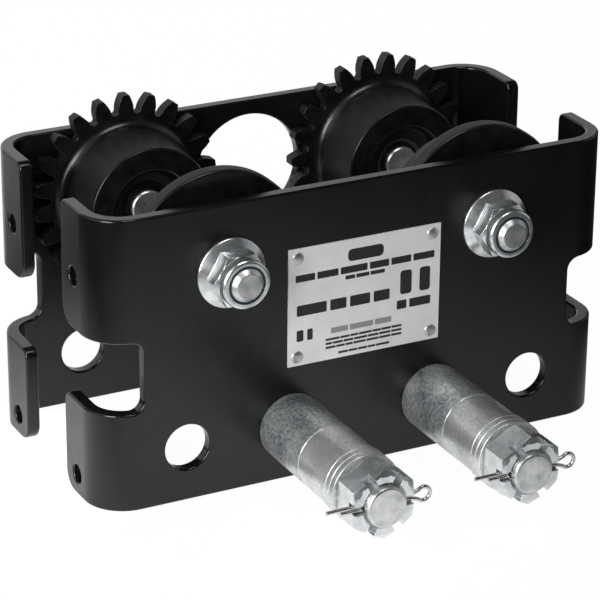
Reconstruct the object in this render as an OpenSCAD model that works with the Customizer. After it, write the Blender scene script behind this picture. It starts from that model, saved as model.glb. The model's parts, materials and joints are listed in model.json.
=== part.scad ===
// Push trolley for an I-beam, 1 tonne class.
// +X is the direction of travel and +Z is up. The origin is on the beam's centreline,
// midway between the axles, at the height where the wheel treads roll.

/* [Side plates] */
// Length of each side plate along the beam
plate_length = 270; // [255:1:300]
// Height of each side plate
plate_height = 144; // [140:1:155]
// Sheet thickness
plate_t = 6.4; // [5:0.1:8]
// Clear distance between the two plates
inside_gap = 115.2; // [112:0.1:122]
// Depth of the bent end tabs, from the outer face
tab_depth = 40.5; // [34:0.5:46]
// Outer radius of the bends
bend_r = 20; // [14:0.5:22]
// Height of the axles above the plates' bottom edge
axle_height = 110.5; // [106:0.5:114]

/* [Notches that the beam flange passes] */
// Length of each notch, from the plate's end
notch_length = 22.5; // [21:0.5:26]
// Bottom of the notch above the plate's bottom edge
notch_bottom = 49; // [44:0.5:54]
// Height of the notch
notch_height = 35; // [28:0.5:38]
// Radius of the notch's inner corners
notch_r = 6; // [3:0.5:8]

/* [Plate holes] */
// Height of the load bars and lower holes above the bottom edge
lower_row_height = 27; // [24:0.5:32]
// Distance of each lower hole from the middle
lower_hole_x = 91; // [80:0.5:95]
// Diameter of the lower holes
lower_hole_d = 22.5; // [18:0.5:26]
// Diameter of the drive pinion's hole in the rear plate
pinion_hole_d = 56; // [40:0.5:58]
// Height of the pinion hole above the bottom edge
pinion_hole_height = 108.5; // [104:0.5:112]
// Diameter of the bumper holes in the tabs
bumper_hole_d = 9; // [6:0.5:11]
// Distance of the bumper holes from the plate's outer face
bumper_hole_in = 28; // [26:0.5:30]
// Heights of the bumper holes above the bottom edge
bumper_hole_heights = [10.5, 110];

/* [Wheels] */
// Distance between the axles
wheelbase = 138.4; // [134:0.2:142]
// Rolling diameter in the middle of the tread
tread_d = 64; // [60:1:68]
// Drop of the tread's diameter from the flange to the face
tread_taper = 3; // [0:0.5:4]
// Distance of the wheel faces from the beam's centreline
face_y = 21; // [18:0.5:22]
// Diameter of the plain wheels' flange
flange_d = 89; // [80:1:92]
// Thickness of the plain wheels' flange
flange_t = 8; // [6:0.5:8.5]
// Distance of the plain flange's outer face from the centreline
flange_y = 51.2; // [50:0.2:53]
// Teeth of the geared wheels
gear_teeth = 22; // [20:1:23]
// Module of the teeth
gear_module = 4; // [3.6:0.1:4.1]
// Tooth height above the pitch circle
addendum = 4.5; // [3.5:0.1:4.6]
// Tooth depth below the pitch circle
dedendum = 5; // [4:0.1:5.5]
// Profile shift of the teeth, which thickens them
profile_shift = 0.35; // [0:0.05:0.4]
// Width of the teeth
gear_t = 6; // [4:0.5:6.5]
// Angle of one tooth above the travel direction, left and right wheel, at rest
tooth_angles = [7.5, 0.4];

/* [Wheel bearings, 17 x 40 x 12] */
// Bore of the bearing
bearing_bore = 17; // [17]
// Outside diameter of the bearing
bearing_od = 40; // [40]
// Width of the bearing
bearing_w = 12; // [12]
// Ball diameter
ball_d = 6.75; // [6:0.05:6.8]
// Balls in a bearing
ball_count = 8; // [7:1:9]
// Depth of the bearing behind the wheel face
bearing_inset = 7; // [6:0.5:8]

/* [Axle nuts] */
// Thread diameter of the axle stud
stud_d = 16; // [16]
// Hex size of the lock nut, across flats
lock_nut_af = 24; // [24:0.5:26]
// Diameter of the lock nut's flange
lock_nut_flange_d = 34; // [32:0.5:36]
// Height of the lock nut
lock_nut_h = 17.6; // [16.8:0.2:20]
// Length of the stud standing out of the lock nut
stud_proud = 2.2; // [0.5:0.1:4]

/* [Load bars] */
// Distance between the two bars
bar_spacing = 75.6; // [70:0.2:84]
// Diameter of the bars
bar_d = 20; // [18:0.5:21]
// Outside diameter of the spacer tubes
spacer_d = 33; // [30:0.2:34]
// Length of the outer long spacer
long_spacer = 39.5; // [30:0.5:45]
// Length of the outer short spacer
short_spacer = 23.4; // [20:0.2:30]
// Length of each spacer between the plates
inner_spacer = 42; // [36:0.5:44]
// Outside diameter of the washers
washer_d = 34.4; // [32:0.2:36]
// Thickness of a washer
washer_t = 3.8; // [3:0.1:4]
// Washers under each castle nut
outer_washer_count = 3; // [2:1:4]
// Hex size of the castle nuts and bar heads, across flats
castle_af = 30; // [30:0.5:32]
// Height of the castle nut
castle_h = 17.5; // [15:0.5:19]
// Width of the castle nut's slots
slot_w = 4.6; // [4.2:0.1:5]
// Depth of the castle nut's slots
slot_depth = 6; // [5.5:0.5:7]
// Bar end standing out of the castle nut
bar_end = 2.7; // [1:0.1:5]
// Thickness of the bar's head
bar_head_t = 12.5; // [10:0.5:14]

/* [Cotter pins] */
// Diameter of each leg
leg_d = 1.9; // [1.5:0.1:2]
// Reach of the long and short leg past the bar's axis
leg_reach = [28, 21];
// Radius of the eye, to the wire's centre
eye_r = 3.4; // [3:0.1:4]
// Distance of the eye's centre from the bar's axis
eye_x = 21; // [19.5:0.5:24]

/* [Rating plate] */
// Width of the plate
label_w = 80; // [60:1:90]
// Height of the plate
label_h = 58.6; // [40:0.2:64]
// Thickness of the plate
label_t = 0.8; // [0.5:0.1:1.5]
// Height of its centre above the side plate's bottom edge
label_height = 86.6; // [84:0.2:92]
// Inset of the rivets from the plate's edges
rivet_inset = 4.6; // [4:0.2:8]

/* [Hidden] */
SIDES = ["front_left", "front_right", "rear_left", "rear_right"];
$fn = 96;
e = 0.5;            // overlap of cutting tools
fit = 0.02;         // radial gap of parts that seat in each other
clip_play = 0.05;   // gap on each side of a circlip in its groove
gear_gap = 0.6;     // gap between the teeth and the side plate
edge = 0.8;         // chamfer of turned edges
left = -1;
right = 1;
front = -1;
rear = 1;
paint_black = "#1c1c1c";
cast_black = "#151515";
zinc = "#b9bdc0";
zinc_dull = "#8b9092";
bearing_steel = "#a9acae";
spring_steel = "#2b2b2d";
nylon_teal = "#23424a";

bottom_z = tread_d / 2 - axle_height;
axle_z = tread_d / 2;
axle_x = wheelbase / 2;
row_z = bottom_z + lower_row_height;
bar_x = bar_spacing / 2;
inner_y = inside_gap / 2;
outer_y = inner_y + plate_t;
arc_steps = 12;

// Wheel and bearing places are distances outward from the beam's centreline.
gear_y = inner_y - gear_gap - gear_t;
gear_pitch_r = gear_teeth * gear_module / 2;
gear_base_r = gear_pitch_r * cos(20);
gear_root_r = gear_pitch_r - dedendum;
gear_tip_r = gear_pitch_r + addendum;
root_fillet = 1.6;
tread_face_r = tread_d / 2 - tread_taper / 4;
tread_back_r = tread_d / 2 + tread_taper / 4;
bearing_y = face_y + bearing_inset;
bearing_back = bearing_y + bearing_w;
race_mid = bearing_y + bearing_w / 2;
pocket_r = bearing_od / 2 + fit;
shoulder_bore_r = 16;
clip_groove_r = pocket_r + 1.2;
wheel_clip_t = 1.7;
wheel_clip_y = bearing_y - wheel_clip_t - clip_play;
axle_clip_t = 1;
axle_clip_y = bearing_y - axle_clip_t - clip_play;
axle_end_y = bearing_y - 3;
collar_r = 11;
journal_r = bearing_bore / 2;
pitch_r = (bearing_bore + bearing_od) / 4;
ball_r = ball_d / 2;
race_r = ball_r * 1.05;
race_gap = 0.03;
outer_land_r = 17;
inner_land_r = 12.3;

// Lock nuts and rivets.
stud_end = outer_y + lock_nut_h + stud_proud;
insert_h = 3.6;
insert_y = lock_nut_h - insert_h - 0.8;
insert_pocket_r = stud_d / 2 + 2.2;
rivet_shank_d = 2.4;
rivet_hole_d = rivet_shank_d + 0.1;

// Stack outside the front plate, as distances from the beam's centreline.
short_spacer_y = outer_y + long_spacer;
washers_y = short_spacer_y + short_spacer;
castle_y = washers_y + outer_washer_count * washer_t;
castle_top = castle_y + castle_h;
bar_tip = castle_top + bar_end;
cotter_y = castle_top - slot_depth / 2;
cotter_hole_r = leg_d + 0.2;
inner_stack_y = inner_y - inner_spacer;

function arc(x, y, r, from, to, steps = arc_steps) =
    [for (i = [0:steps]) let (a = from + (to - from) * i / steps) [x + r * cos(a), y + r * sin(a)]];

function mirrored(points) = [for (i = [len(points) - 1:-1:0]) [-points[i][0], points[i][1]]];

// ---- places ----

// Puts a part drawn along +Z, outward, on one of the four axles.
module on_axle(side, end) {
    translate([end * axle_x, 0, axle_z]) rotate([-side * 90, 0, 0]) children();
}

// Puts a part drawn along +Z, towards the front, on one of the two load bars.
module on_bar(end) {
    translate([end * bar_x, 0, row_z]) rotate([90, 0, 0]) children();
}

module ring(r_out, r_in, h, z = 0) {
    translate([0, 0, z]) difference() {
        cylinder(r = r_out, h = h);
        translate([0, 0, -e]) cylinder(r = r_in, h = h + 2 * e);
    }
}

// Ring with a chamfer on both outer edges.
module chamfered_ring(r_out, r_in, h, z, chamfer) {
    rotate_extrude() polygon([
        [r_in, z], [r_out - chamfer, z], [r_out, z + chamfer],
        [r_out, z + h - chamfer], [r_out - chamfer, z + h], [r_in, z + h]
    ]);
}

// ---- side plates ----

// Plan of the bent sheet, with its outer face at y = 0 and its tabs towards +Y.
module bent_sheet_plan() {
    half = plate_length / 2;
    bend_x = half - bend_r;
    right_half = concat(
        arc(bend_x, bend_r, bend_r, 270, 360),
        [[half, tab_depth], [half - plate_t, tab_depth]],
        arc(bend_x, bend_r, bend_r - plate_t, 360, 270)
    );
    polygon(concat(right_half, mirrored(right_half)));
}

// Notch at the plate's right end, cut through the web, the bend and the tab.
module notch() {
    x = plate_length / 2 - notch_length;
    top = notch_bottom + notch_height;
    reach = plate_length / 2 + e;
    translate([0, tab_depth + e, 0]) rotate([90, 0, 0])
        linear_extrude(tab_depth + 2 * e) polygon(concat(
            arc(x + notch_r, notch_bottom + notch_r, notch_r, 180, 270),
            [[reach, notch_bottom], [reach, top]],
            arc(x + notch_r, top - notch_r, notch_r, 90, 180)
        ));
}

// Rounds one free corner of the tabs at both ends. up is 1 for a tab's upper corner.
module tab_corner(height, r, up) {
    translate([-plate_length / 2 - e, tab_depth, height]) rotate([90, 0, 90])
        linear_extrude(plate_length + 2 * e) scale([1, up])
            polygon(concat([[e, -r]], arc(-r, -r, r, 0, 90), [[-r, e], [e, e]]));
}

module web_hole(x, height, d) {
    translate([x, -e, height]) rotate([-90, 0, 0]) cylinder(d = d, h = plate_t + 2 * e);
}

module side_plate() {
    notch_top = notch_bottom + notch_height;
    difference() {
        linear_extrude(plate_height) bent_sheet_plan();
        notch();
        mirror([1, 0, 0]) notch();
        tab_corner(plate_height, 4, 1);
        tab_corner(notch_top, 9, -1);
        tab_corner(notch_bottom, 5, 1);
        tab_corner(0, 9, -1);
        for (end = [left, right]) {
            web_hole(end * axle_x, axle_height, stud_d + 1);
            web_hole(end * bar_x, lower_row_height, bar_d + 0.6);
            web_hole(end * lower_hole_x, lower_row_height, lower_hole_d);
        }
        for (height = bumper_hole_heights)
            translate([-plate_length / 2 - e, bumper_hole_in, height]) rotate([0, 90, 0])
                cylinder(d = bumper_hole_d, h = plate_length + 2 * e);
    }
}

module front_side_plate() {
    color(paint_black) translate([0, -outer_y, bottom_z]) difference() {
        side_plate();
        at_rivets() web_hole(0, 0, rivet_hole_d);
    }
}

module rear_side_plate() {
    color(paint_black) translate([0, outer_y, bottom_z]) rotate([0, 0, 180]) difference() {
        side_plate();
        web_hole(0, pinion_hole_height, pinion_hole_d);
    }
}

// ---- rating plate ----

// The four rivets' places, in a side plate's own frame.
module at_rivets() {
    x = label_w / 2 - rivet_inset;
    z = label_h / 2 - rivet_inset;
    for (i = [left, right], k = [-1, 1])
        translate([i * x, 0, label_height + k * z]) children();
}

module rating_plate() {
    color("silver") translate([0, -outer_y, bottom_z]) difference() {
        translate([-label_w / 2, -label_t, label_height - label_h / 2]) cube([label_w, label_t, label_h]);
        at_rivets() translate([0, e, 0]) rotate([90, 0, 0])
            cylinder(d = rivet_hole_d, h = label_t + 2 * e);
    }
}

module rating_plate_rivets() {
    head_r = 3;
    dome_h = 1.1;
    shank = label_t + plate_t - 1;
    color(zinc) translate([0, -outer_y - label_t, bottom_z]) at_rivets()
        rotate([90, 0, 0]) rotate_extrude() polygon([
            [0, -shank], [rivet_shank_d / 2, -shank], [rivet_shank_d / 2, 0], [head_r, 0],
            for (a = [15:15:90]) [head_r * cos(a), dome_h * sin(a)]
        ]);
}

// ---- wheels ----

// Outline of a wheel's bore and pocket, from its back to its face.
function bore_outline(back) = [
    [shoulder_bore_r, back], [shoulder_bore_r, bearing_back], [pocket_r, bearing_back],
    [pocket_r, bearing_y], [clip_groove_r, bearing_y], [clip_groove_r, wheel_clip_y - clip_play],
    [pocket_r, wheel_clip_y - clip_play], [pocket_r, face_y + edge], [pocket_r + edge, face_y]
];

// Outline of the tread, from the face to the root fillet that rises to the flange at y.
function tread_outline(y, fillet) = concat(
    [[tread_face_r - 1.2, face_y], [tread_face_r - 0.3, face_y + 0.4], [tread_face_r, face_y + 1.2]],
    arc(tread_back_r + fillet, y - fillet, fillet, 180, 90, 6)
);

module plain_wheel() {
    inner_face = flange_y - flange_t;
    r = flange_d / 2;
    color(cast_black) rotate_extrude() polygon(concat(
        tread_outline(inner_face, 2.5),
        [[r - edge, inner_face], [r, inner_face + edge], [r, flange_y - edge], [r - edge, flange_y]],
        bore_outline(flange_y)
    ));
}

function involute_angle(a) = tan(a) * 180 / PI - a;

// Half of one tooth's angle at radius r, for a 20 degree involute with profile shift.
function half_tooth(r) =
    (90 + 2 * profile_shift * tan(20) * 180 / PI) / gear_teeth
    + involute_angle(20) - involute_angle(acos(min(1, gear_base_r / r)));

function polar(r, a) = [r * cos(a), r * sin(a)];

// One flank from root to tip, as [radius, angle] pairs: a root fillet, then the involute.
function half_flank() = concat(
    [for (a = [90:-30:0]) let (r = gear_root_r + root_fillet * (1 - sin(a)))
        [r, half_tooth(gear_base_r) + root_fillet * (1 - cos(a)) / r * 180 / PI]],
    [for (i = [0:4]) let (r = gear_base_r + (gear_tip_r - gear_base_r) * i / 4) [r, half_tooth(r)]]
);

module gear_outline(phase) {
    flank = half_flank();
    last = len(flank) - 1;
    polygon([
        for (tooth = [0:gear_teeth - 1], side = [-1, 1], i = [0:last])
            let (point = flank[side < 0 ? i : last - i])
                polar(point[0], phase + tooth * 360 / gear_teeth + side * point[1])
    ]);
}

module geared_wheel(phase) {
    back = gear_y + gear_t;
    fillet = 5.5;
    color(cast_black) difference() {
        union() {
            translate([0, 0, gear_y]) linear_extrude(gear_t) gear_outline(-phase);
            rotate_extrude() polygon(concat(
                [[shoulder_bore_r, face_y]],
                tread_outline(gear_y, fillet),
                [[tread_back_r + fillet, back - 1], [shoulder_bore_r, back - 1]]
            ));
        }
        rotate_extrude() polygon(concat(
            [[0, face_y - e], [0, back + e], [shoulder_bore_r, back + e]],
            bore_outline(back),
            [[pocket_r + edge, face_y - e]]
        ));
    }
}

// ---- wheel bearings and axles ----

module axle() {
    stud_r = stud_d / 2;
    tip_chamfer = 2;
    groove_r = journal_r - 0.4;
    color(zinc) rotate_extrude() polygon([
        [0, axle_end_y], [journal_r - edge, axle_end_y], [journal_r, axle_end_y + edge],
        [journal_r, axle_clip_y - clip_play], [groove_r, axle_clip_y - clip_play],
        [groove_r, bearing_y], [journal_r, bearing_y], [journal_r, bearing_back],
        [collar_r, bearing_back], [collar_r, inner_y], [stud_r, inner_y],
        [stud_r, stud_end - tip_chamfer], [stud_r - tip_chamfer, stud_end], [0, stud_end]
    ]);
}

module bearing_outer_ring() {
    centre = pitch_r + ball_r + race_gap - race_r;
    half = acos((outer_land_r - centre) / race_r);
    r = bearing_od / 2;
    color(bearing_steel) rotate_extrude() polygon(concat(
        [[outer_land_r, bearing_y], [r - 0.5, bearing_y], [r, bearing_y + 0.5],
         [r, bearing_back - 0.5], [r - 0.5, bearing_back], [outer_land_r, bearing_back]],
        arc(centre, race_mid, race_r, half, -half)
    ));
}

module bearing_inner_ring() {
    centre = pitch_r - ball_r - race_gap + race_r;
    half = acos((centre - inner_land_r) / race_r);
    bore = journal_r + fit;
    color(bearing_steel) rotate_extrude() polygon(concat(
        [[bore, bearing_back], [bore, bearing_y], [inner_land_r, bearing_y]],
        arc(centre, race_mid, race_r, 180 + half, 180 - half),
        [[inner_land_r, bearing_back]]
    ));
}

module at_balls() {
    for (i = [0:ball_count - 1])
        rotate(i * 360 / ball_count) translate([pitch_r, 0, race_mid]) children();
}

module bearing_balls() {
    color("silver") at_balls() sphere(r = ball_r);
}

// One-piece cage that spaces the balls, with a pocket drilled for each.
module bearing_cage() {
    cage_w = 8.2;
    half_wall = 0.9;
    color("goldenrod") difference() {
        ring(pitch_r + half_wall, pitch_r - half_wall, cage_w, race_mid - cage_w / 2);
        at_balls() translate([-2 * half_wall, 0, 0]) rotate([0, 90, 0])
            cylinder(r = ball_r + 0.12, h = 4 * half_wall);
    }
}

module bearing_shields() {
    shield_t = 0.6;
    recess = 0.3;
    color(cast_black) for (z = [bearing_y + recess, bearing_back - recess - shield_t])
        ring(outer_land_r - fit, inner_land_r + 0.3, shield_t, z);
}

// Circlip with two drilled lugs. The lugs sit at lug_r, and the gap is centred on +Y.
module circlip(r_out, r_in, t, lug_r) {
    lug = 1.7;
    eye = 0.8;
    gap = 2.6;
    lug_angle = asin((lug + gap / 2) / lug_r);
    difference() {
        union() {
            ring(r_out, r_in, t);
            for (a = [-lug_angle, lug_angle])
                rotate(a) translate([0, lug_r, 0]) cylinder(r = lug, h = t);
        }
        translate([-gap / 2, 0, -e]) cube([gap, r_out + 2 * lug, t + 2 * e]);
        for (a = [-lug_angle, lug_angle])
            rotate(a) translate([0, lug_r, -e]) cylinder(r = eye, h = t + 2 * e);
    }
}

module bearing_circlip() {
    color(spring_steel) translate([0, 0, wheel_clip_y])
        circlip(clip_groove_r - 0.1, pocket_r - 2, wheel_clip_t, pocket_r - 2.2);
}

module axle_circlips() {
    color(spring_steel) for (side = [front, rear], end = [left, right])
        on_axle(side, end) translate([0, 0, axle_clip_y])
            circlip(journal_r + 1.6, journal_r - 0.35, axle_clip_t, journal_r + 1.7);
}

// ---- axle nuts ----

// Hex prism across flats af, its corners turned down to flat circles at the ends it chamfers.
module chamfered_hex(af, h, bottom, top) {
    corner_r = af / 2 / cos(30);
    flat_r = af / 2 * 0.94;
    drop = (corner_r - flat_r) * tan(30);
    intersection() {
        rotate(30) cylinder(r = corner_r, h = h, $fn = 6);
        rotate_extrude() polygon([
            [0, 0], [bottom ? flat_r : corner_r + e, 0], [corner_r + e, drop + e * tan(30)],
            [corner_r + e, h - drop - e * tan(30)], [top ? flat_r : corner_r + e, h], [0, h]
        ]);
    }
}

// Flange lock nut. Its collar is rolled in over the nylon insert.
module lock_nut(turn) {
    hex_h = lock_nut_h - 5;
    rim_h = 1.9;
    flange_h = 4.2;
    flange_r = lock_nut_flange_d / 2;
    collar_outer_r = lock_nut_af / 2 - 0.1;
    roll_r = 1.6;
    thread_r = stud_d / 2 + fit;
    lip_r = stud_d / 2 + 1.2;
    difference() {
        union() {
            rotate_extrude() polygon([
                [0, 0], [flange_r - edge / 2, 0], [flange_r, edge / 2], [flange_r, rim_h - edge / 2],
                [flange_r - edge / 2, rim_h], [lock_nut_af / 2 + edge, flange_h], [0, flange_h]
            ]);
            rotate(turn) chamfered_hex(lock_nut_af, hex_h, false, true);
            rotate_extrude() polygon(concat(
                [[0, hex_h - 1], [collar_outer_r, hex_h - 1]],
                arc(collar_outer_r - roll_r, lock_nut_h - roll_r, roll_r, 0, 90, 5),
                [[0, lock_nut_h]]
            ));
        }
        rotate_extrude() polygon([
            [0, -e], [thread_r, -e], [thread_r, insert_y], [insert_pocket_r, insert_y],
            [insert_pocket_r, insert_y + insert_h], [lip_r, insert_y + insert_h],
            [lip_r, lock_nut_h + e], [0, lock_nut_h + e]
        ]);
    }
}

module axle_lock_nuts() {
    turns = [29, 31];
    color(zinc) for (side = [front, rear], end = [left, right])
        on_axle(side, end) translate([0, 0, outer_y]) lock_nut(turns[(end + 1) / 2]);
}

module lock_nut_inserts() {
    color(nylon_teal) for (side = [front, rear], end = [left, right])
        on_axle(side, end)
            ring(insert_pocket_r - fit, stud_d / 2 + fit, insert_h - 2 * fit, outer_y + insert_y + fit);
}

// ---- load bars and the stack on them ----

module load_bar() {
    r = bar_d / 2;
    tip_round = 1.5;
    color(zinc) difference() {
        union() {
            rotate_extrude() polygon(concat(
                [[0, -outer_y - 1], [r, -outer_y - 1]],
                arc(r - tip_round, bar_tip - tip_round, tip_round, 0, 90, 5),
                [[0, bar_tip]]
            ));
            translate([0, 0, -outer_y - bar_head_t]) chamfered_hex(castle_af, bar_head_t, true, false);
        }
        translate([-bar_d, 0, cotter_y]) rotate([0, 90, 0]) cylinder(r = cotter_hole_r, h = 2 * bar_d);
    }
}

module spacer_tube(length, z) {
    chamfered_ring(spacer_d / 2, bar_d / 2 + 0.4, length, z, 0.5);
}

module outer_long_spacer(end) {
    color(zinc_dull) on_bar(end) spacer_tube(long_spacer, outer_y);
}

module outer_short_spacer(end) {
    color(zinc) on_bar(end) spacer_tube(short_spacer, short_spacer_y);
}

// Spacer between the plates, against the front or the rear one.
module inner_spacer_tube(side, end) {
    z = side == front ? inner_stack_y : -inner_y;
    color(zinc_dull) on_bar(end) spacer_tube(inner_spacer, z);
}

module washer(z) {
    chamfered_ring(washer_d / 2, bar_d / 2 + 0.5, washer_t - fit, z, 0.4);
}

module inner_washers() {
    color(zinc) for (end = [left, right]) on_bar(end) {
        washer(inner_stack_y - washer_t);
        washer(-inner_stack_y);
    }
}

module outer_washers() {
    color(zinc) for (end = [left, right], i = [0:outer_washer_count - 1])
        on_bar(end) washer(washers_y + i * washer_t);
}

module castle_nut() {
    bore_r = bar_d / 2 + fit;
    mouth = 1.2;
    difference() {
        chamfered_hex(castle_af, castle_h, true, true);
        rotate_extrude() polygon([
            [0, -e], [bore_r, -e], [bore_r, castle_h - mouth], [bore_r + mouth, castle_h],
            [bore_r + mouth, castle_h + e], [0, castle_h + e]
        ]);
        for (turn = [0, 60, 120])
            rotate(turn) translate([-castle_af, -slot_w / 2, castle_h - slot_depth])
                cube([2 * castle_af, slot_w, slot_depth + e]);
    }
}

module castle_nuts() {
    color(zinc) for (end = [left, right])
        on_bar(end) translate([0, 0, castle_y]) castle_nut();
}

// Split pin of two round legs, one above the other, joined by a round eye.
module cotter_pin() {
    leg_r = leg_d / 2;
    for (i = [0, 1])
        translate([-leg_reach[i], (i == 0 ? 1 : -1) * leg_r * 1.04, 0]) rotate([0, 90, 0])
            cylinder(r = leg_r, h = leg_reach[i] + eye_x - eye_r, $fn = 32);
    translate([eye_x, 0, 0]) rotate_extrude($fn = 48) translate([eye_r, 0]) circle(r = leg_r, $fn = 24);
}

module cotter_pins() {
    color(zinc) for (end = [left, right])
        on_bar(end) translate([0, 0, cotter_y]) cotter_pin();
}

// ---- the assembly ----

front_side_plate();
rear_side_plate();
rating_plate();
rating_plate_rivets();
on_axle(front, left) plain_wheel();  // front_left_wheel
on_axle(front, right) plain_wheel();  // front_right_wheel
on_axle(rear, left) geared_wheel(tooth_angles[0]);  // rear_left_geared_wheel
on_axle(rear, right) geared_wheel(tooth_angles[1]);  // rear_right_geared_wheel
on_axle(front, left) axle();  // front_left_axle
on_axle(front, right) axle();  // front_right_axle
on_axle(rear, left) axle();  // rear_left_axle
on_axle(rear, right) axle();  // rear_right_axle
on_axle(front, left) bearing_outer_ring();  // front_left_bearing_outer_ring
on_axle(front, right) bearing_outer_ring();  // front_right_bearing_outer_ring
on_axle(rear, left) bearing_outer_ring();  // rear_left_bearing_outer_ring
on_axle(rear, right) bearing_outer_ring();  // rear_right_bearing_outer_ring
on_axle(front, left) bearing_inner_ring();  // front_left_bearing_inner_ring
on_axle(front, right) bearing_inner_ring();  // front_right_bearing_inner_ring
on_axle(rear, left) bearing_inner_ring();  // rear_left_bearing_inner_ring
on_axle(rear, right) bearing_inner_ring();  // rear_right_bearing_inner_ring
on_axle(front, left) bearing_balls();  // front_left_bearing_balls
on_axle(front, right) bearing_balls();  // front_right_bearing_balls
on_axle(rear, left) bearing_balls();  // rear_left_bearing_balls
on_axle(rear, right) bearing_balls();  // rear_right_bearing_balls
on_axle(front, left) bearing_cage();  // front_left_bearing_cage
on_axle(front, right) bearing_cage();  // front_right_bearing_cage
on_axle(rear, left) bearing_cage();  // rear_left_bearing_cage
on_axle(rear, right) bearing_cage();  // rear_right_bearing_cage
on_axle(front, left) bearing_shields();  // front_left_bearing_shields
on_axle(front, right) bearing_shields();  // front_right_bearing_shields
on_axle(rear, left) bearing_shields();  // rear_left_bearing_shields
on_axle(rear, right) bearing_shields();  // rear_right_bearing_shields
on_axle(front, left) bearing_circlip();  // front_left_bearing_circlip
on_axle(front, right) bearing_circlip();  // front_right_bearing_circlip
on_axle(rear, left) bearing_circlip();  // rear_left_bearing_circlip
on_axle(rear, right) bearing_circlip();  // rear_right_bearing_circlip
axle_circlips();
axle_lock_nuts();
lock_nut_inserts();
on_bar(left) load_bar();  // left_load_bar
on_bar(right) load_bar();  // right_load_bar
outer_long_spacer(left);  // left_long_spacer
outer_long_spacer(right);  // right_long_spacer
outer_short_spacer(left);  // left_short_spacer
outer_short_spacer(right);  // right_short_spacer
inner_spacer_tube(front, left);  // front_left_inner_spacer
inner_spacer_tube(front, right);  // front_right_inner_spacer
inner_spacer_tube(rear, left);  // rear_left_inner_spacer
inner_spacer_tube(rear, right);  // rear_right_inner_spacer
inner_washers();
outer_washers();
castle_nuts();
cotter_pins();
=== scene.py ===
"""Looks for the beam trolley: soft edges, materials, small details and a plain studio.

The frame's axes: +X along the beam, -Y the side with the rating plate, +Z up. The trolley's own details are
in millimetres, times MM. The studio's places are in metres.
"""

import json
import math
import random

import bmesh
import bpy
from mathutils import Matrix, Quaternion, Vector


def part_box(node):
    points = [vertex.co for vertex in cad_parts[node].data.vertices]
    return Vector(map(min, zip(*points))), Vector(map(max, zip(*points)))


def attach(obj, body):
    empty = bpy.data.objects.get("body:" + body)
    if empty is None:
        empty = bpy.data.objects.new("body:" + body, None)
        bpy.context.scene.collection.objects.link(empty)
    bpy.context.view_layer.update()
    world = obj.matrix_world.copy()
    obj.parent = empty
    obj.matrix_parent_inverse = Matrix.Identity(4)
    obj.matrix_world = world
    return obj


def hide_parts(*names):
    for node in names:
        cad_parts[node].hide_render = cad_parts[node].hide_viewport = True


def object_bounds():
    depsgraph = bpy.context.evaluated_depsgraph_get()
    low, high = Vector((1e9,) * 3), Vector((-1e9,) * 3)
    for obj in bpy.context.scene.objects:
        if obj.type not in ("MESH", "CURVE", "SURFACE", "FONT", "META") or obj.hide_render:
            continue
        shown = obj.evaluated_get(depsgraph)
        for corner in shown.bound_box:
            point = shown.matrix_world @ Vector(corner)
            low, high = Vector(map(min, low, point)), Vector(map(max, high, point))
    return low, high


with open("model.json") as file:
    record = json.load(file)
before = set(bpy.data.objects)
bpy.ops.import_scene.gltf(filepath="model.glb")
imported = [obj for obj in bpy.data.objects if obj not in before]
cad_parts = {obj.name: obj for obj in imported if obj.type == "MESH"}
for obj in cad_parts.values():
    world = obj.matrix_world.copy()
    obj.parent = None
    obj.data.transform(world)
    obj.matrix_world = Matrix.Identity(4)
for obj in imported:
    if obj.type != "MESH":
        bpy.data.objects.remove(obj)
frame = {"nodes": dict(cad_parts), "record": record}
cad_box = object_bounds()
nodes = frame["nodes"]

MM = 0.001

# Most of a noise texture's values lie in this range.
NOISE_RANGE = (0.3, 0.7)


def middle(name):
    low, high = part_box(name)
    return (low + high) / 2


axle = middle("front_right_bearing_outer_ring")
bar = middle("right_long_spacer")


# ---- materials ----

class Tree:
    """The node tree of a material or a world, with short calls for adding and joining nodes."""

    def __init__(self, owner):
        owner.use_nodes = True
        self.tree = owner.node_tree
        self.tree.nodes.clear()

    def node(self, kind, **values):
        """Adds a node. A value goes to the input of that name, or else to the setting of that name."""
        made = self.tree.nodes.new(kind)
        for name, value in values.items():
            label = name.replace("_", " ")
            if label in made.inputs:
                self.feed(made.inputs[label], value)
            else:
                setattr(made, name, value)
        return made

    def feed(self, socket, value):
        if isinstance(value, bpy.types.NodeSocket):
            self.tree.links.new(value, socket)
        else:
            socket.default_value = value

    def maths(self, operation, a, b=0.0):
        made = self.node("ShaderNodeMath", operation=operation)
        self.feed(made.inputs[0], a)
        self.feed(made.inputs[1], b)
        return made.outputs[0]

    def span(self, value, start, end, low, high):
        """Maps start..end to low..high, and clamps."""
        made = self.node("ShaderNodeMapRange", Value=value,
                         From_Min=start, From_Max=end, To_Min=low, To_Max=high)
        return made.outputs["Result"]

    def length(self, a, b):
        """Length of the arrow that goes a one way and b square to it."""
        squares = self.maths("ADD", self.maths("MULTIPLY", a, a), self.maths("MULTIPLY", b, b))
        return self.maths("SQRT", squares)


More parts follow.
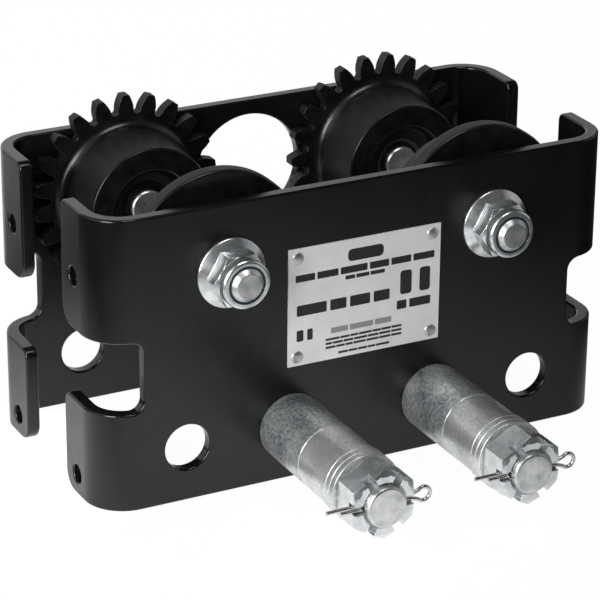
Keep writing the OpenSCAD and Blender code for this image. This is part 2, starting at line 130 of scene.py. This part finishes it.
class Graph(Tree):
    """A material with one shader, with short calls for the patterns used here."""

    def __init__(self, name, colour, metallic=0.0, roughness=0.5):
        self.material = bpy.data.materials.new(name)
        super().__init__(self.material)
        self.shader = self.node("ShaderNodeBsdfPrincipled", Metallic=metallic, Roughness=roughness)
        self.paint(colour)
        output = self.node("ShaderNodeOutputMaterial")
        self.feed(output.inputs["Surface"], self.shader.outputs["BSDF"])
        self.place = self.node("ShaderNodeTexCoord").outputs["Object"]
        self.normal = None

    @staticmethod
    def rgba(colour):
        return colour if isinstance(colour, bpy.types.NodeSocket) else (*colour, 1.0)

    def paint(self, colour):
        """Sets the base colour, from a plain colour or a socket."""
        self.feed(self.shader.inputs["Base Color"], self.rgba(colour))

    def rough(self, value):
        self.feed(self.shader.inputs["Roughness"], value)

    def patchy_gloss(self, size, roughness, **pattern):
        """Roughness that drifts between two values, in patches of a size."""
        self.rough(self.span(self.noise(size, **pattern), *NOISE_RANGE, *roughness))

    def noise(self, size, detail=3.0, stretch=(1.0, 1.0, 1.0), seed=0.0):
        """Cloudy pattern from 0 to 1, its patches about size millimetres across."""
        place = self.node("ShaderNodeMapping", Vector=self.place, Scale=stretch, Location=(seed, seed, seed))
        texture = self.node("ShaderNodeTexNoise", Vector=place.outputs["Vector"],
                            Scale=1 / (size * MM), Detail=detail)
        return texture.outputs["Fac"]

    def turned(self, centre, size):
        """Lathe marks size millimetres wide round the axes at +-centre.x: rings on faces, bands on barrels."""
        parts = self.node("ShaderNodeSeparateXYZ", Vector=self.place)
        side = self.maths("ABSOLUTE", parts.outputs["X"])
        across = self.maths("SUBTRACT", side, abs(centre.x))
        up = self.maths("SUBTRACT", parts.outputs["Z"], centre.z)
        along = self.maths("ADD", self.length(across, up), parts.outputs["Y"])
        texture = self.node("ShaderNodeTexNoise", noise_dimensions="1D", W=along,
                            Scale=1 / (size * MM), Detail=2.0)
        return texture.outputs["Fac"]

    def facing(self, axis):
        """How squarely the surface faces along an axis, from 0 to 1."""
        normal = self.node("ShaderNodeNewGeometry").outputs["Normal"]
        return self.maths("ABSOLUTE", self.node("ShaderNodeSeparateXYZ", Vector=normal).outputs[axis])

    def pool(self, centre, fade, strength):
        """A round patch on a floor, which fades to nothing between two distances from its centre."""
        parts = self.node("ShaderNodeSeparateXYZ", Vector=self.place)
        across = self.maths("SUBTRACT", parts.outputs["X"], centre[0])
        along = self.maths("SUBTRACT", parts.outputs["Y"], centre[1])
        return self.span(self.length(across, along), *fade, strength, 0.0)

    def mix(self, share, a, b):
        made = self.node("ShaderNodeMix", data_type="RGBA")
        self.feed(made.inputs[0], share)
        self.feed(made.inputs[6], self.rgba(a))
        self.feed(made.inputs[7], self.rgba(b))
        return made.outputs[2]

    def bump(self, height, depth):
        """Adds relief depth millimetres high to what is there."""
        made = self.node("ShaderNodeBump", Height=height, Distance=depth * MM)
        if self.normal is not None:
            self.feed(made.inputs["Normal"], self.normal)
        self.normal = made.outputs["Normal"]
        self.feed(self.shader.inputs["Normal"], self.normal)


def powder_coat():
    """Black paint, a little cloudy. It shines most along the rounded edges."""
    g = Graph("black_powder_coat", (0.004, 0.004, 0.004))
    g.feed(g.shader.inputs["Specular IOR Level"], 0.43)
    g.paint(g.mix(g.span(g.noise(45), *NOISE_RANGE, 0, 1), (0.003, 0.003, 0.003), (0.006, 0.0056, 0.0052)))
    flat = g.maths("MAXIMUM", g.maths("MAXIMUM", g.facing("X"), g.facing("Y")), g.facing("Z"))
    edge = g.span(flat, 0.93, 0.995, -0.14, 0.0)
    g.rough(g.maths("ADD", g.span(g.noise(9, seed=3), *NOISE_RANGE, 0.26, 0.32), edge))
    g.bump(g.noise(2.2, detail=1), 0.005)
    return g.material


def cast_black():
    """Painted iron with faint lathe marks, duller on the barrels than on the faces."""
    g = Graph("black_cast_iron", (0.005, 0.005, 0.005))
    marks = g.turned(axle, 1.1)
    g.paint(g.mix(g.span(g.noise(7), 0.35, 0.7, 0, 1), (0.003, 0.003, 0.003), (0.009, 0.0085, 0.008)))
    barrel = g.span(g.facing("Y"), 0.03, 0.3, 0.32, 0.0)
    g.rough(g.maths("ADD", g.span(marks, *NOISE_RANGE, 0.22, 0.29), barrel))
    g.bump(marks, 0.004)
    return g.material


def zinc(name, dark, light, centre, roughness):
    """Plated steel with cloudy patches, lathe marks round the given axes and fine scratches."""
    patch = 6.0
    marks = 0.3
    depth = 0.006
    g = Graph(name, light, metallic=0.9)
    g.paint(g.mix(g.span(g.noise(patch, detail=5), 0.36, 0.62, 0, 1), dark, light))
    g.patchy_gloss(patch / 2, roughness, detail=5, seed=4)
    g.bump(g.turned(centre, marks), depth)
    g.bump(g.noise(1.1, detail=3, seed=7), 0.008)
    return g.material


def galvanised(name, dark, light, threshold, metallic):
    """Mottled zinc: small crystals, fine specks and darker clouds."""
    g = Graph(name, light, metallic=metallic)
    cloud = g.noise(13, detail=4)
    grain = g.noise(1.5, detail=6, seed=2)
    spread = g.maths("ADD", g.maths("MULTIPLY", cloud, 0.45), g.maths("MULTIPLY", grain, 0.55))
    g.paint(g.mix(g.span(spread, threshold - 0.13, threshold + 0.12, 0, 1), dark, light))
    g.rough(g.span(grain, 0.35, 0.65, 0.42, 0.28))
    g.bump(g.noise(1.0, detail=4, seed=6), 0.012)
    return g.material


def printed_aluminium():
    """Brushed along its length."""
    g = Graph("printed_aluminium", (0.86, 0.86, 0.85), metallic=0.35, roughness=0.42)
    lines = g.noise(0.35, detail=3, stretch=(0.02, 1, 1))
    cloud = g.span(g.noise(14, seed=1), *NOISE_RANGE, 0, 1)
    g.paint(g.mix(cloud, (0.76, 0.76, 0.75), (0.86, 0.865, 0.855)))
    g.rough(g.span(lines, *NOISE_RANGE, 0.36, 0.5))
    g.bump(lines, 0.003)
    return g.material


def plain_metal(name, colour, roughness, centre=axle):
    """Bright metal with fine lathe marks."""
    marks = 0.25
    g = Graph(name, colour, metallic=1.0)
    g.patchy_gloss(3, roughness, detail=4)
    g.bump(g.turned(centre, marks), 0.003)
    return g.material


def plain(name, colour, patch, roughness, metallic=0.0, grain=None, depth=0.0):
    """One colour with uneven gloss, and a grain of some size and depth where that is given."""
    g = Graph(name, colour, metallic=metallic)
    g.patchy_gloss(patch, roughness)
    if grain:
        g.bump(g.noise(grain), depth)
    return g.material


MATERIALS = {
    "black_powder_coat": powder_coat(),
    "black_cast_iron": cast_black(),
    "printed_aluminium": printed_aluminium(),
    "aluminium_rivet": plain_metal("aluminium_rivet", (0.6, 0.6, 0.59), (0.36, 0.5)),
    "zinc_turned": zinc("zinc_turned", (0.45, 0.47, 0.48), (0.69, 0.7, 0.69), bar, (0.26, 0.4)),
    "zinc_bright": zinc("zinc_bright", (0.58, 0.61, 0.63), (0.78, 0.8, 0.8), axle, (0.16, 0.26)),
    "galvanised_dull": galvanised("galvanised_dull", (0.14, 0.16, 0.18), (0.66, 0.68, 0.67), 0.5, 0.7),
    "galvanised_light": galvanised("galvanised_light", (0.42, 0.45, 0.45), (0.78, 0.79, 0.76), 0.47, 0.82),
    # The bearing rings' steel colour is darkened to a dark grey: painted shade for rings that sit in shadow in
    # the wheel bores.
    "bearing_steel": plain_metal("bearing_steel", (0.2, 0.205, 0.21), (0.2, 0.3)),
    "seal_rubber": plain("seal_rubber", (0.008, 0.008, 0.008), 1.5, (0.42, 0.55), grain=0.5, depth=0.004),
    "brass_cage": plain_metal("brass_cage", (0.55, 0.38, 0.14), (0.25, 0.4)),
    "spring_steel": plain("spring_steel", (0.03, 0.03, 0.032), 2, (0.28, 0.42), 0.9, grain=0.4, depth=0.004),
    "nylon_insert": plain("nylon_insert", (0.008, 0.035, 0.045), 1.5, (0.3, 0.42), grain=0.6, depth=0.006),
    "pin_steel": plain_metal("pin_steel", (0.62, 0.62, 0.6), (0.2, 0.32), bar),
    "black_ink": plain("black_ink", (0.012, 0.012, 0.012), 1.2, (0.4, 0.6)),
    "grey_ink": plain("grey_ink", (0.3, 0.3, 0.29), 0.8, (0.4, 0.6), 0.3),
}


# ---- soft edges on the CAD nodes ----

def soften(piece, width, segments, clamp=True):
    """Rounds a CAD node's sharp edges, with modifiers only."""
    bpy.context.view_layer.objects.active = piece
    bpy.ops.mesh.customdata_custom_splitnormals_clear()
    weld = piece.modifiers.new("weld", "WELD")
    weld.merge_threshold = 0.001 * MM
    merge = piece.modifiers.new("merge_flats", "DECIMATE")
    merge.decimate_type = "DISSOLVE"
    merge.angle_limit = math.radians(0.2)
    edges = piece.modifiers.new("soft_edges", "BEVEL")
    edges.width = width * MM
    edges.segments = segments
    edges.limit_method = "ANGLE"
    edges.angle_limit = math.radians(30)
    edges.miter_outer = "MITER_ARC"
    edges.use_clamp_overlap = clamp
    shading = piece.modifiers.new("weighted_normals", "WEIGHTED_NORMAL")
    shading.mode = "FACE_AREA_WITH_ANGLE"


# How the nodes whose names end like this are rounded. The first ending that fits counts. The side plates
# aren't clamped, because the short facets of their small holes would hold back every edge.
SOFT_EDGES = {
    "side_plate": {"width": 1.1, "segments": 4, "clamp": False},
    "rating_plate": {"width": 0.15, "segments": 2},
    "geared_wheel": {"width": 0.22, "segments": 2},
    "wheel": {"width": 0.4, "segments": 2},
    "spacer": {"width": 0.25, "segments": 2},
    "washers": {"width": 0.25, "segments": 2},
    "lock_nuts": {"width": 0.25, "segments": 2},
    "castle_nuts": {"width": 0.35, "segments": 3},
    "load_bar": {"width": 0.3, "segments": 2},
    "axle": {"width": 0.2, "segments": 2},
}

for name, piece in nodes.items():
    slot = next(part["material_slot"] for part in frame["record"]["subparts"] if part["node"] == name)
    piece.data.materials.clear()
    piece.data.materials.append(MATERIALS[slot])
    ending = next((end for end in SOFT_EDGES if name.endswith(end)), None)
    if ending:
        soften(piece, **SOFT_EDGES[ending])


# ---- print on the rating plate ----

plate_low, plate_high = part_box("rating_plate")
plate_size = plate_high - plate_low


def rounded_bar(mesh, left, right, centre, height, radius):
    """A flat bar with rounded corners that stands a hair proud of the plate, placed by shares of its size."""
    front = plate_low.y
    thick = 0.03 * MM
    low_x = plate_low.x + left * plate_size.x
    high_x = plate_low.x + right * plate_size.x
    z = plate_high.z - centre * plate_size.z
    half = height * MM / 2
    r = min(radius * MM, half * 0.98)
    outline = []
    corners = [(high_x - r, z + half - r, 0), (low_x + r, z + half - r, 90),
               (low_x + r, z - half + r, 180), (high_x - r, z - half + r, 270)]
    for x, y, start in corners:
        for step in range(5):
            turn = math.radians(start + step * 22.5)
            outline.append((x + r * math.cos(turn), y + r * math.sin(turn)))
    back = [mesh.verts.new((x, front, y)) for x, y in outline]
    face = [mesh.verts.new((x, front - thick, y)) for x, y in outline]
    mesh.faces.new(face)
    mesh.faces.new(list(reversed(back)))
    for i in range(len(outline)):
        k = (i + 1) % len(outline)
        mesh.faces.new((back[i], back[k], face[k], face[i]))


def print_piece(name, mesh, material):
    """Turns a bmesh into a piece that rides with the plate."""
    bmesh.ops.recalc_face_normals(mesh, faces=mesh.faces)
    data = bpy.data.meshes.new(name)
    mesh.to_mesh(data)
    mesh.free()
    data.materials.append(material)
    piece = bpy.data.objects.new(name, data)
    bpy.context.scene.collection.objects.link(piece)
    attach(piece, "frame")


def word_bars(mesh, left, right, centre, height, words, draw):
    """A line of print: bars as long as words, with gaps like spaces."""
    gap = 0.35 * height * MM / plate_size.x
    lengths = [draw.uniform(0.6, 1.4) for _ in range(words)]
    unit = (right - left - gap * (words - 1)) / sum(lengths)
    x = left
    for length in lengths:
        rounded_bar(mesh, x, x + unit * length, centre, height, 0.12 * height)
        x += unit * length + gap


# Lines of print: left, right and centre as shares of the plate, height in millimetres, and number of words.
DARK_LINES = (
    (0.045, 0.96, 0.255, 3.5, 6),
    (0.37, 0.63, 0.32, 1.9, 3),
    (0.055, 0.665, 0.53, 5.4, 4),
    (0.735, 0.935, 0.455, 12.0, 2),
    (0.715, 0.94, 0.645, 4.4, 2),
    (0.055, 0.16, 0.745, 5.6, 2),
    (0.245, 0.75, 0.825, 1.1, 7),
    (0.245, 0.75, 0.86, 1.1, 7),
    (0.245, 0.75, 0.895, 1.1, 7),
    (0.33, 0.67, 0.955, 1.1, 5),
)
PALE_LINE = (0.28, 0.68, 0.752, 2.8, 3)


def plate_print():
    """Generic stand-ins for the print: a block at the top, then lines of bars, and a pale stamped line."""
    draw = random.Random(11)
    dark = bmesh.new()
    rounded_bar(dark, 0.385, 0.62, 0.135, 6.0, 2.2)
    for line in DARK_LINES:
        word_bars(dark, *line, draw)
    print_piece("rating_plate_print", dark, MATERIALS["black_ink"])
    pale = bmesh.new()
    word_bars(pale, *PALE_LINE, draw)
    print_piece("rating_plate_stamp", pale, MATERIALS["grey_ink"])


plate_print()


# ---- cotter pins ----

def bent_wire(name, points, radius):
    """The mesh of a round wire that runs smoothly through the points."""
    curve = bpy.data.curves.new(name, "CURVE")
    curve.dimensions = "3D"
    curve.bevel_depth = radius
    curve.bevel_resolution = 5
    curve.use_fill_caps = True
    line = curve.splines.new("BEZIER")
    line.bezier_points.add(len(points) - 1)
    line.resolution_u = 5
    for point, place in zip(line.bezier_points, points):
        point.co = place
        point.handle_left_type = point.handle_right_type = "AUTO"
    wire = bpy.data.objects.new(name + "_curve", curve)
    bpy.context.scene.collection.objects.link(wire)
    bpy.context.view_layer.update()
    data = bpy.data.meshes.new_from_object(wire.evaluated_get(bpy.context.evaluated_depsgraph_get()))
    bpy.data.objects.remove(wire)
    data.name = name
    for face in data.polygons:
        face.use_smooth = True
    return data


def cotter_pin(name, side):
    """One bent wire in the space of its CAD solid: two legs through the slotted nut, joined by a round eye."""
    low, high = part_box("cotter_pins")
    offset = side * abs(middle("right_load_bar").x)
    y = (low.y + high.y) / 2
    radius = (high.y - low.y) / 2
    reach = abs(low.x) - abs(offset)
    eye = (high.z - low.z) / 2 - radius
    eye_x = high.x - abs(offset) - radius - eye
    leg = radius * 1.03
    neck = eye_x - 2.1 * eye
    upper_leg = [(-reach, leg), (-0.5 * reach, leg), (neck, leg)]
    turns = [math.radians(degrees) for degrees in range(135, -136, -30)]
    loop = [(eye_x + eye * math.cos(turn), eye * math.sin(turn)) for turn in turns]
    lower_leg = [(neck, -leg), (-0.4 * reach, -leg), (-0.75 * reach, -leg)]
    points = [(offset + along, y, bar.z + up) for along, up in upper_leg + loop + lower_leg]
    data = bent_wire(name, points, radius)
    data.materials.clear()
    data.materials.append(MATERIALS["pin_steel"])
    piece = bpy.data.objects.new(name, data)
    bpy.context.scene.collection.objects.link(piece)
    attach(piece, "frame")
    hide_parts("cotter_pins")


cotter_pin("left_cotter_pin", -1)
cotter_pin("right_cotter_pin", 1)


# ---- studio ----

# Soft pale walls round the trolley. Each lies towards one side, fades in as a direction nears that side, and
# has a strength away from it and in its middle.
WALLS = (
    {"side": (0, 1, 0), "fade": (0.62, 0.9), "strength": (0.03, 1.5)},
    {"side": (-1, -0.15, 0.2), "fade": (0.5, 0.95), "strength": (0.03, 1.4)},
    {"side": (1, -0.1, 0.15), "fade": (0.75, 0.98), "strength": (0.0, 0.6)},
)

# Round patches where the floor shines, for the paint to mirror: in front, at the left and behind.
POOLS = (
    {"centre": (-0.07, -0.16), "fade": (0.05, 0.33), "strength": 1.0},
    {"centre": (-0.17, 0.0), "fade": (0.03, 0.235), "strength": 1.3},
    {"centre": (0.1, 0.55), "fade": (0.36, 0.46), "strength": 0.9},
)
FLOOR_SIZE = 12
FLOOR_DROP = 0.2 * MM
FLOOR_SEEN = 0.97


def area_light(name, place, size, power):
    """A rectangular light that shines at the trolley and isn't seen itself."""
    data = bpy.data.lights.new(name, "AREA")
    data.shape = "RECTANGLE"
    data.size, data.size_y = size
    data.energy = power
    light = bpy.data.objects.new(name, data)
    light.location = place
    light.visible_camera = False
    light.rotation_euler = (-Vector(place)).to_track_quat("-Z", "Y").to_euler()
    bpy.context.scene.collection.objects.link(light)


def floor():
    """A pale floor for the camera. What the trolley mirrors of it is dark but for the pools."""
    height = cad_box[0].z - FLOOR_DROP
    bpy.ops.mesh.primitive_plane_add(size=FLOOR_SIZE, location=(0, 0, height))
    made = bpy.context.object
    made.name = "floor"
    g = Graph("pale_floor", (0.02, 0.02, 0.02), roughness=0.9)
    glow = g.maths("MULTIPLY", g.node("ShaderNodeLightPath").outputs["Is Camera Ray"], FLOOR_SEEN)
    for pool in POOLS:
        glow = g.maths("MAXIMUM", glow, g.pool(**pool))
    g.feed(g.shader.inputs["Emission Color"], (1.0, 1.0, 1.0, 1.0))
    g.feed(g.shader.inputs["Emission Strength"], glow)
    made.data.materials.append(g.material)


def room():
    """Soft walls all round for the trolley, and a plain bright backdrop for the camera."""
    world = bpy.data.worlds.new("studio")
    bpy.context.scene.world = world
    sky = Tree(world)
    direction = sky.node("ShaderNodeTexCoord").outputs["Generated"]
    strength = 0.0
    for wall in WALLS:
        facing = sky.node("ShaderNodeVectorMath", operation="DOT_PRODUCT")
        sky.feed(facing.inputs[0], direction)
        sky.feed(facing.inputs[1], Vector(wall["side"]).normalized())
        glow = sky.span(facing.outputs["Value"], *wall["fade"], *wall["strength"])
        strength = sky.maths("MAXIMUM", strength, glow)
    walls = sky.node("ShaderNodeBackground", Strength=strength)
    backdrop = sky.node("ShaderNodeBackground", Color=(1.0, 1.0, 1.0, 1.0), Strength=1.0)
    mix = sky.node("ShaderNodeMixShader", Fac=sky.node("ShaderNodeLightPath").outputs["Is Camera Ray"])
    sky.feed(mix.inputs[1], walls.outputs[0])
    sky.feed(mix.inputs[2], backdrop.outputs[0])
    output = sky.node("ShaderNodeOutputWorld")
    sky.feed(output.inputs["Surface"], mix.outputs[0])


def camera():
    """The viewing angle: from the front left, a little above, with a long lens."""
    azimuth = math.radians(-27.43)
    elevation = math.radians(23.14)
    roll = math.radians(0.51)
    distance = 1.4148
    target = Vector((-0.37 * MM, 0, cad_box[0].z + 59.24 * MM))
    back = Vector((math.sin(azimuth) * math.cos(elevation), -math.cos(azimuth) * math.cos(elevation),
                   math.sin(elevation)))
    data = bpy.data.cameras.new("camera")
    data.sensor_width = 36.0
    data.lens = 174.06
    data.clip_end = 20.0
    made = bpy.data.objects.new("camera", data)
    bpy.context.scene.collection.objects.link(made)
    made.location = target + distance * back
    look = (-back).to_track_quat("-Z", "Y")
    look.rotate(Quaternion(back, roll))
    made.rotation_euler = look.to_euler()
    bpy.context.scene.camera = made


floor()
room()
area_light("overhead", (0.05, -0.5, 1.1), (0.5, 0.35), 3.5)
area_light("left_low", (-0.92, -0.6, 0.34), (0.45, 0.7), 10)
camera()
scene = bpy.context.scene
scene.view_settings.view_transform = "Standard"
scene.view_settings.look = "None"
